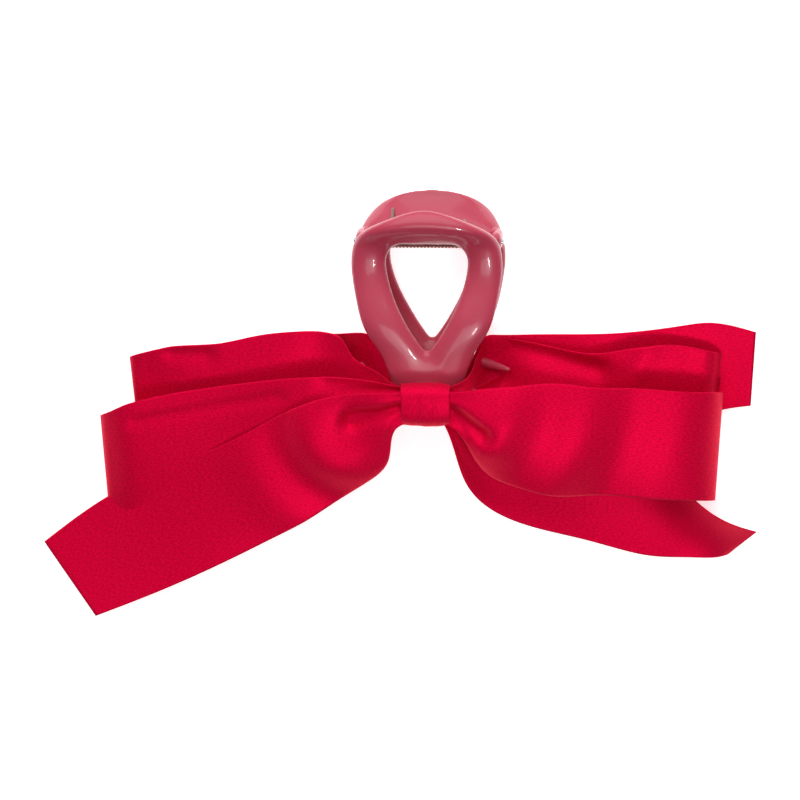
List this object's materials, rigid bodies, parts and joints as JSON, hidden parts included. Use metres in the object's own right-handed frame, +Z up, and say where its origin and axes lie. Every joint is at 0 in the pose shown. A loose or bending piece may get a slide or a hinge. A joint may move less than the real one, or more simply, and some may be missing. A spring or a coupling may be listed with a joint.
{
  "type": "hair claw clip with ribbon bow",
  "caption": "Jaw clip for hair: two curved glossy plastic jaws with a see-through teardrop finger ring, a pin hinge and a torsion spring, and a large layered satin ribbon bow on the front jaw.",
  "frame": {"origin": "centre of the flat on the back of the rear jaw's palm, on which the clip lies", "axes": "+X along the hinge pin, to the right when the bow faces the viewer and the finger handles are at the top; +Y towards the finger handles; +Z up from the surface, out through the bow"},
  "size_m": [0.238, 0.1338, 0.0362],
  "materials": {
    "pink_plastic": "gloss",
    "bright_steel": "polished",
    "spring_steel": "satin",
    "red_satin": "satin",
    "hot_glue": "satin",
    "red_thread": "matte"
  },
  "bodies": {
    "rear_half": {"rear_jaw": "pink_plastic", "hinge_pin": "bright_steel", "coil_spring": "spring_steel"},
    "front_half": {"front_jaw": "pink_plastic", "glue_pad": "hot_glue", "tie_thread": "red_thread", "knot_band": "red_satin", "rear_ribbon": "red_satin", "middle_ribbon": "red_satin", "tail_ribbon": "red_satin", "front_ribbon": "red_satin"}
  },
  "joints": [
    {"name": "jaw_hinge", "type": "hinge", "parent": "rear_half", "child": "front_half", "pos_m": [0, 0.0381, 0.01707], "axis": [-1, 0, 0], "range_deg": [0, 88], "stiffness_Nm_per_rad": 0.07, "springref_deg": -40.11, "deforming": ["coil_spring"]}
  ]
}
